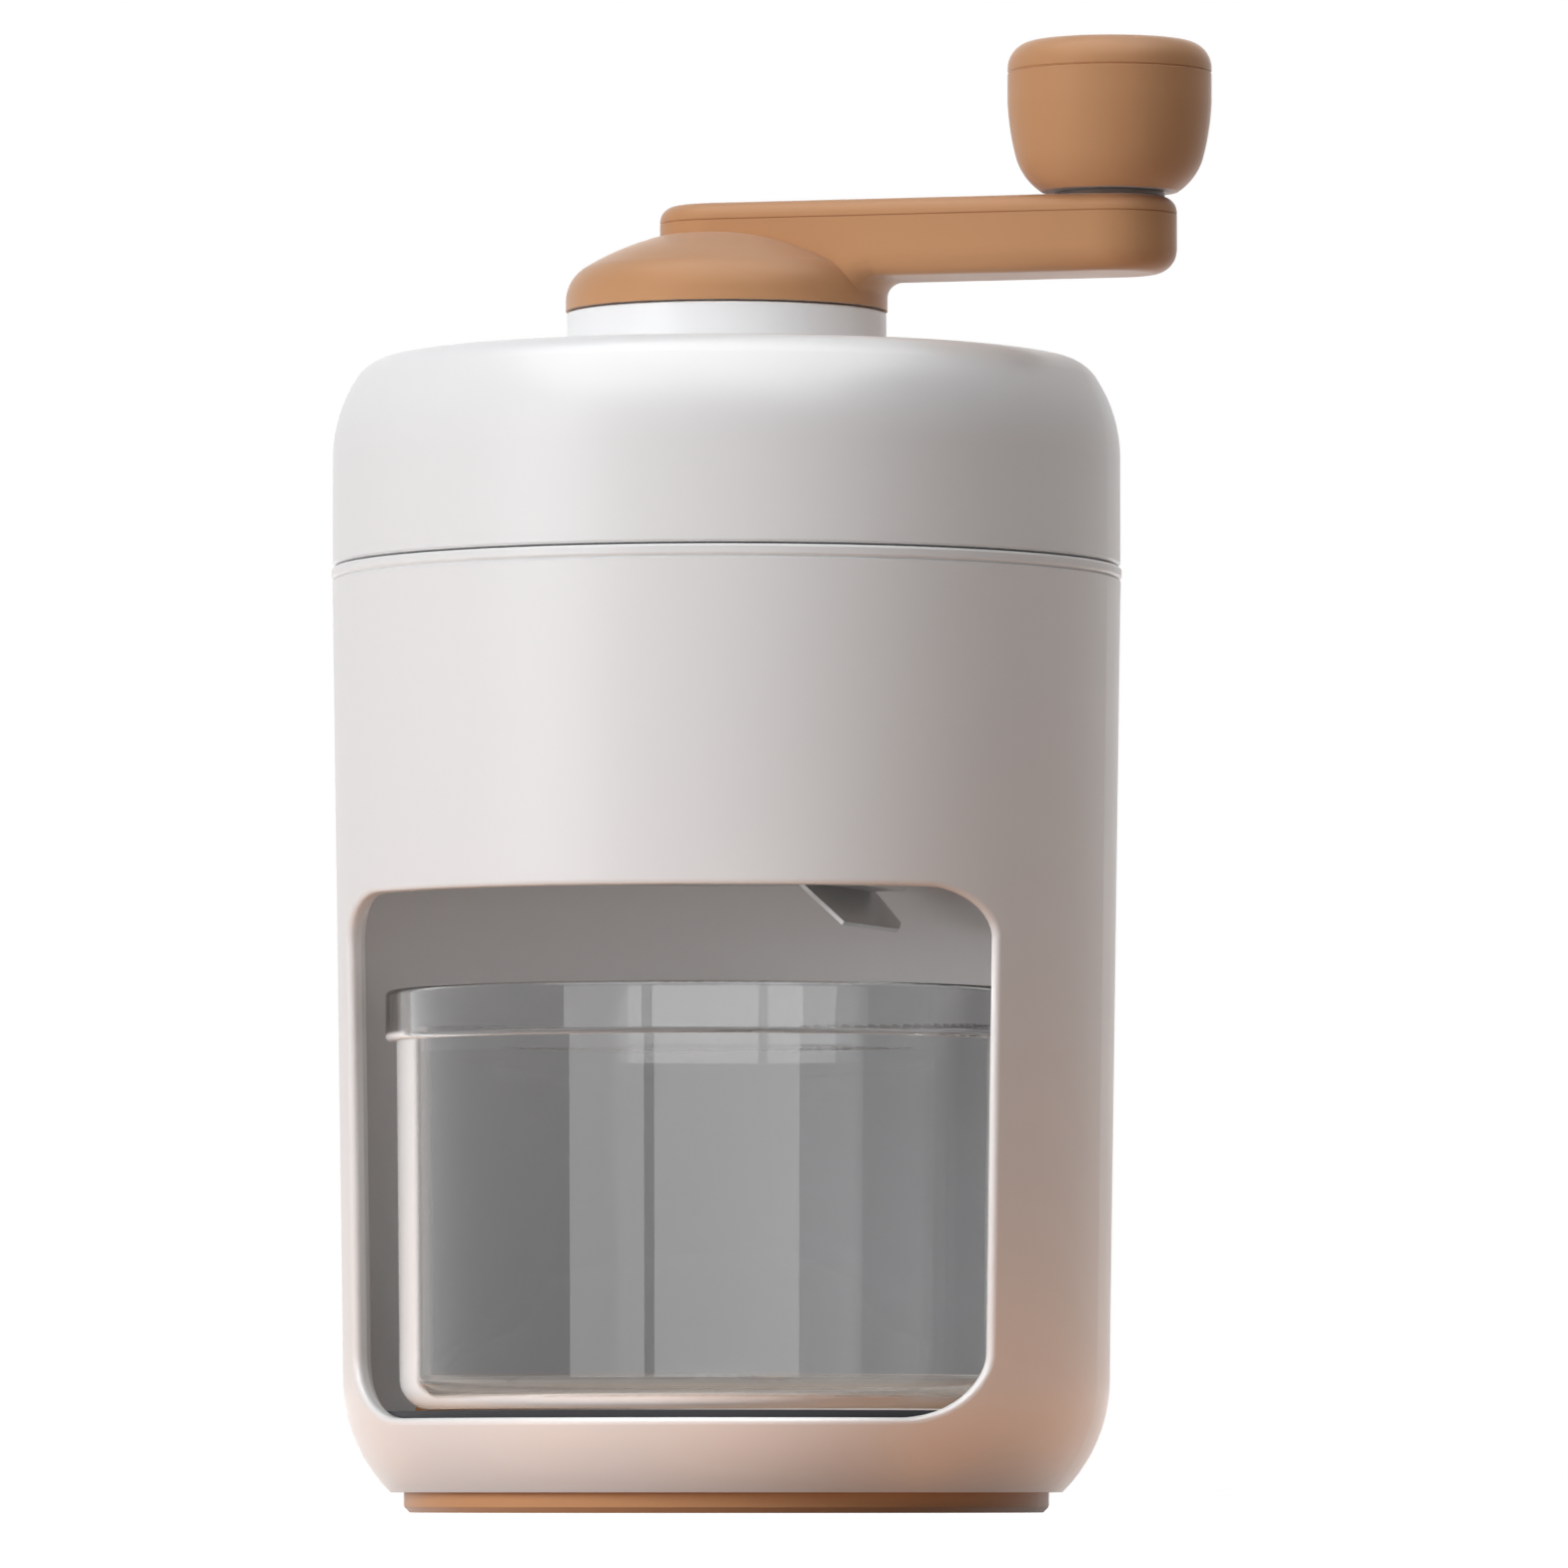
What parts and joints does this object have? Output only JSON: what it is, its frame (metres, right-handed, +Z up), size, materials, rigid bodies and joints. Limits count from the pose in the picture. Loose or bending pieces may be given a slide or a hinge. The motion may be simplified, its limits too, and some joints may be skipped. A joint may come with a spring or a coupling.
{
  "type": "hand-cranked ice shaver",
  "caption": "Hand-cranked ice shaver: tapered housing with a front bay and clear cup, keyed lift-off lid, crank with turning knob, sprung ice presser and slanted blade.",
  "frame": {"origin": "On the housing's axis, in the flat underside of the foot.", "axes": "+Z up along the housing's and the crank's axis; -Y is the front, where the cup bay opens; the crank arm points along +X at rest."},
  "size_m": [0.147, 0.13, 0.2403],
  "materials": {
    "shell_white": "satin",
    "inner_white": "satin",
    "liner_grey": "smooth matte",
    "trim_tan": "fine satin",
    "grip_rubber": "matte",
    "steel": "brushed",
    "blade_steel": "ground, bright edge",
    "spring_steel": "drawn wire",
    "bearing_plastic": "smooth",
    "dark_washer": "smooth, dark",
    "cup_clear": "clear, polished"
  },
  "bodies": {
    "housing": {"body_shell": "shell_white", "bay_liner": "liner_grey", "bay_floor": "trim_tan", "foot_base": "trim_tan", "grip_ring": "grip_rubber", "base_screws": "steel", "ice_chamber": "shell_white", "blade_disc": "inner_white", "disc_screws": "steel", "blade": "blade_steel", "blade_screws": "steel"},
    "lid": {"lid_shell": "shell_white", "lid_liner": "inner_white", "neck_collar": "shell_white", "collar_screws": "steel", "shaft_bush": "bearing_plastic", "thrust_washer": "bearing_plastic"},
    "crank": {"crank_arm": "trim_tan", "arm_cover": "trim_tan", "drive_shaft": "steel", "hub_screw": "steel", "shaft_clip": "steel", "spring_washer": "steel", "stop_washer": "steel", "stop_screw": "steel", "knob_pin": "steel", "knob_washer": "dark_washer"},
    "knob": {"knob_body": "trim_tan", "knob_cap": "trim_tan"},
    "presser": {"presser_plate": "inner_white", "presser_spring": "spring_steel"},
    "cup": {"cup": "cup_clear"}
  },
  "joints": [
    {"name": "lid_lift", "type": "slide", "parent": "housing", "child": "lid", "axis": [0, 0, 1], "range_m": [0, 0.055]},
    {"name": "crank_turn", "type": "hinge", "parent": "lid", "child": "crank", "pos_m": [0, 0, 0.19], "axis": [0, 0, 1], "continuous": true},
    {"name": "presser_slide", "type": "slide", "parent": "crank", "child": "presser", "axis": [0, 0, 1], "range_m": [0, 0.042], "stiffness_N_per_m": 300, "springref_m": -0.01, "deforming": ["presser_spring"]},
    {"name": "knob_spin", "type": "hinge", "parent": "crank", "child": "knob", "pos_m": [0.0653, 0, 0.2257], "axis": [0, 0, 1], "continuous": true},
    {"name": "cup_pull", "type": "slide", "parent": "housing", "child": "cup", "axis": [0, -1, 0], "range_m": [0, 0.125]}
  ]
}
